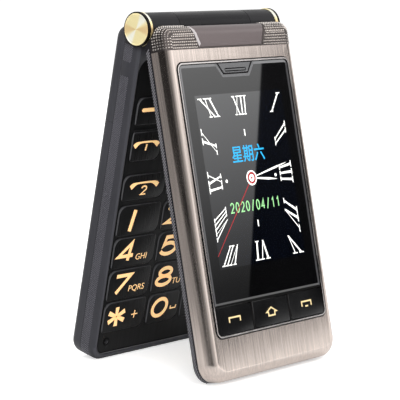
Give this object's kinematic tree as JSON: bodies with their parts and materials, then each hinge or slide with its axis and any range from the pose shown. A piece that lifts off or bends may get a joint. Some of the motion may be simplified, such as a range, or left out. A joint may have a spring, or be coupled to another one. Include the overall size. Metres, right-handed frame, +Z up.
{
  "type": "flip phone",
  "caption": "Clamshell mobile phone standing half open like a tent, with a hinged display lid, a keypad base, press keys and a lift-off battery cover.",
  "frame": {"origin": "centre of the floor area under the phone as it stands half open, on the floor plane", "axes": "+X along the hinge, to the right when facing the outer display; -Y towards the outer display; +Z up"},
  "size_m": [0.0608, 0.0614, 0.1095],
  "materials": {
    "lid_frame": "brushed along the length, warm grey, satin",
    "knurled_metal": "fine pyramid knurl, bright",
    "taupe_cover": "smooth satin lacquer",
    "dark_chrome": "dark polished trim",
    "dark_glass": "polished, near black",
    "display": "display panel",
    "dark_shell": "satin dark grey moulding",
    "barrel_shell": "satin dark grey moulding with smooth knuckles",
    "keypad_metal": "dark brushed plate",
    "keys": "dark satin keys with pale legends",
    "gold": "turned, polished pale gold",
    "steel": "plain steel",
    "circuit": "circuit board laminate",
    "ribbon": "polyimide film",
    "rubber": "soft black rubber",
    "battery_wrap": "battery wrap",
    "lamp_lens": "clear moulded lens"
  },
  "bodies": {
    "base": {"base_front_shell": "barrel_shell", "base_rear_shell": "dark_shell", "keypad_plate": "keypad_metal", "keypad_mat": "rubber", "main_board": "circuit", "battery": "battery_wrap", "card_holder": "steel", "camera_module": "display", "camera_window": "dark_glass", "torch_led": "lamp_lens", "loudspeaker": "steel", "vibration_motor": "steel", "microphone": "steel", "usb_socket": "steel", "hinge_module": "steel", "hinge_pin": "steel", "hinge_cap_left": "gold", "hinge_cap_right": "gold"},
    "lid": {"lid_outer_shell": "lid_frame", "lid_inner_shell": "barrel_shell", "lid_grip_band": "knurled_metal", "lid_top_cover": "taupe_cover", "outer_bezel": "dark_chrome", "outer_glass": "dark_glass", "earpiece_tab": "dark_glass", "outer_display": "display", "outer_key_flex": "ribbon", "inner_lens": "dark_glass", "inner_display": "display", "lid_board": "circuit", "receiver": "steel", "bumper_left": "rubber", "bumper_right": "rubber", "hinge_drive_head": "steel", "hinge_flex": "ribbon"},
    "key_1": {"key_1": "keys"},
    "key_2": {"key_2": "keys"},
    "key_3": {"key_3": "keys"},
    "key_4": {"key_4": "keys"},
    "key_5": {"key_5": "keys"},
    "key_6": {"key_6": "keys"},
    "key_7": {"key_7": "keys"},
    "key_8": {"key_8": "keys"},
    "key_9": {"key_9": "keys"},
    "key_star": {"key_star": "keys"},
    "key_0": {"key_0": "keys"},
    "key_hash": {"key_hash": "keys"},
    "call_key_2": {"call_key_2": "keys"},
    "clear_key": {"clear_key": "keys"},
    "torch_key": {"torch_key": "keys"},
    "soft_key_left": {"soft_key_left": "keys"},
    "soft_key_right": {"soft_key_right": "keys"},
    "call_key_1": {"call_key_1": "keys"},
    "end_key": {"end_key": "keys"},
    "dpad_ring": {"dpad_ring": "keys"},
    "ok_key": {"ok_key": "keys"},
    "outer_key_left": {"outer_key_left": "dark_glass"},
    "outer_key_home": {"outer_key_home": "dark_glass"},
    "outer_key_back": {"outer_key_back": "dark_glass"},
    "battery_cover": {"battery_cover": "dark_shell"}
  },
  "joints": [
    {"name": "lid_hinge", "type": "hinge", "parent": "base", "child": "lid", "pos_m": [0, 0.0015, 0.10411], "axis": [-1, 0, 0], "range_deg": [-23.8, 141.2]},
    {"name": "key_1_press", "type": "slide", "parent": "base", "child": "key_1", "axis": [0, 0.981, 0.1942], "range_m": [0, 0.00035], "stiffness_N_per_m": 250},
    {"name": "key_2_press", "type": "slide", "parent": "base", "child": "key_2", "axis": [0, 0.981, 0.1942], "range_m": [0, 0.00035], "stiffness_N_per_m": 250},
    {"name": "key_3_press", "type": "slide", "parent": "base", "child": "key_3", "axis": [0, 0.981, 0.1942], "range_m": [0, 0.00035], "stiffness_N_per_m": 250},
    {"name": "key_4_press", "type": "slide", "parent": "base", "child": "key_4", "axis": [0, 0.981, 0.1942], "range_m": [0, 0.00035], "stiffness_N_per_m": 250},
    {"name": "key_5_press", "type": "slide", "parent": "base", "child": "key_5", "axis": [0, 0.981, 0.1942], "range_m": [0, 0.00035], "stiffness_N_per_m": 250},
    {"name": "key_6_press", "type": "slide", "parent": "base", "child": "key_6", "axis": [0, 0.981, 0.1942], "range_m": [0, 0.00035], "stiffness_N_per_m": 250},
    {"name": "key_7_press", "type": "slide", "parent": "base", "child": "key_7", "axis": [0, 0.981, 0.1942], "range_m": [0, 0.00035], "stiffness_N_per_m": 250},
    {"name": "key_8_press", "type": "slide", "parent": "base", "child": "key_8", "axis": [0, 0.981, 0.1942], "range_m": [0, 0.00035], "stiffness_N_per_m": 250},
    {"name": "key_9_press", "type": "slide", "parent": "base", "child": "key_9", "axis": [0, 0.981, 0.1942], "range_m": [0, 0.00035], "stiffness_N_per_m": 250},
    {"name": "key_star_press", "type": "slide", "parent": "base", "child": "key_star", "axis": [0, 0.981, 0.1942], "range_m": [0, 0.00035], "stiffness_N_per_m": 250},
    {"name": "key_0_press", "type": "slide", "parent": "base", "child": "key_0", "axis": [0, 0.981, 0.1942], "range_m": [0, 0.00035], "stiffness_N_per_m": 250},
    {"name": "key_hash_press", "type": "slide", "parent": "base", "child": "key_hash", "axis": [0, 0.981, 0.1942], "range_m": [0, 0.00035], "stiffness_N_per_m": 250},
    {"name": "call_key_2_press", "type": "slide", "parent": "base", "child": "call_key_2", "axis": [0, 0.981, 0.1942], "range_m": [0, 0.00035], "stiffness_N_per_m": 250},
    {"name": "clear_key_press", "type": "slide", "parent": "base", "child": "clear_key", "axis": [0, 0.981, 0.1942], "range_m": [0, 0.00035], "stiffness_N_per_m": 250},
    {"name": "torch_key_press", "type": "slide", "parent": "base", "child": "torch_key", "axis": [0, 0.981, 0.1942], "range_m": [0, 0.00035], "stiffness_N_per_m": 250},
    {"name": "soft_key_left_press", "type": "slide", "parent": "base", "child": "soft_key_left", "axis": [0, 0.981, 0.1942], "range_m": [0, 0.00035], "stiffness_N_per_m": 250},
    {"name": "soft_key_right_press", "type": "slide", "parent": "base", "child": "soft_key_right", "axis": [0, 0.981, 0.1942], "range_m": [0, 0.00035], "stiffness_N_per_m": 250},
    {"name": "call_key_1_press", "type": "slide", "parent": "base", "child": "call_key_1", "axis": [0, 0.981, 0.1942], "range_m": [0, 0.00035], "stiffness_N_per_m": 250},
    {"name": "end_key_press", "type": "slide", "parent": "base", "child": "end_key", "axis": [0, 0.981, 0.1942], "range_m": [0, 0.00035], "stiffness_N_per_m": 250},
    {"name": "dpad_ring_press", "type": "slide", "parent": "base", "child": "dpad_ring", "axis": [0, 0.981, 0.1942], "range_m": [0, 0.00035], "stiffness_N_per_m": 250},
    {"name": "ok_key_press", "type": "slide", "parent": "base", "child": "ok_key", "axis": [0, 0.981, 0.1942], "range_m": [0, 0.00035], "stiffness_N_per_m": 250},
    {"name": "outer_key_left_press", "type": "slide", "parent": "lid", "child": "outer_key_left", "axis": [0, 0.9759, -0.2181], "range_m": [0, 0.0003], "stiffness_N_per_m": 250},
    {"name": "outer_key_home_press", "type": "slide", "parent": "lid", "child": "outer_key_home", "axis": [0, 0.9759, -0.2181], "range_m": [0, 0.0003], "stiffness_N_per_m": 250},
    {"name": "outer_key_back_press", "type": "slide", "parent": "lid", "child": "outer_key_back", "axis": [0, 0.9759, -0.2181], "range_m": [0, 0.0003], "stiffness_N_per_m": 250},
    {"name": "battery_cover_lift", "type": "slide", "parent": "base", "child": "battery_cover", "axis": [0, 0.981, 0.1942], "range_m": [0, 0.012]}
  ]
}
